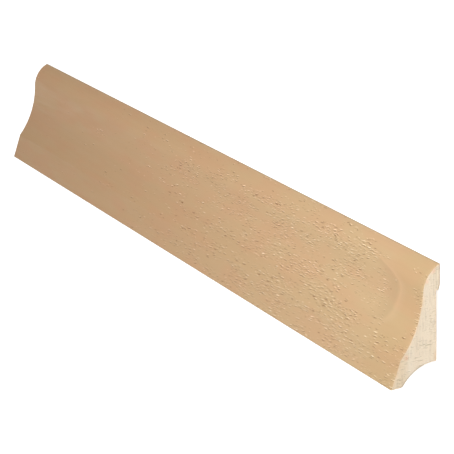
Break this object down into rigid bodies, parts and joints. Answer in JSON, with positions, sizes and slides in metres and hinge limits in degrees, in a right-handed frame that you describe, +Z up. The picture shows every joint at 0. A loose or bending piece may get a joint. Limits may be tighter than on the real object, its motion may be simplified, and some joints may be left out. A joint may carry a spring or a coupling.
{
  "type": "corner moulding",
  "caption": "Straight hardwood corner moulding with a rounded nose, long cove and sloping toe on the front, a hollow underside and a thin lip along the back.",
  "frame": {"origin": "on the floor, under the middle of the stick's bounding box as it lies on its back", "axes": "+X along the stick, +Y across it from the toe to the crown, +Z up, out of the moulded front"},
  "size_m": [0.45, 0.0596, 0.0255],
  "materials": {
    "wood": "machine-planed and sanded, unfinished fine-grained hardwood with raw sawn ends"
  },
  "bodies": {
    "root": {"moulding": "wood"}
  },
  "joints": []
}
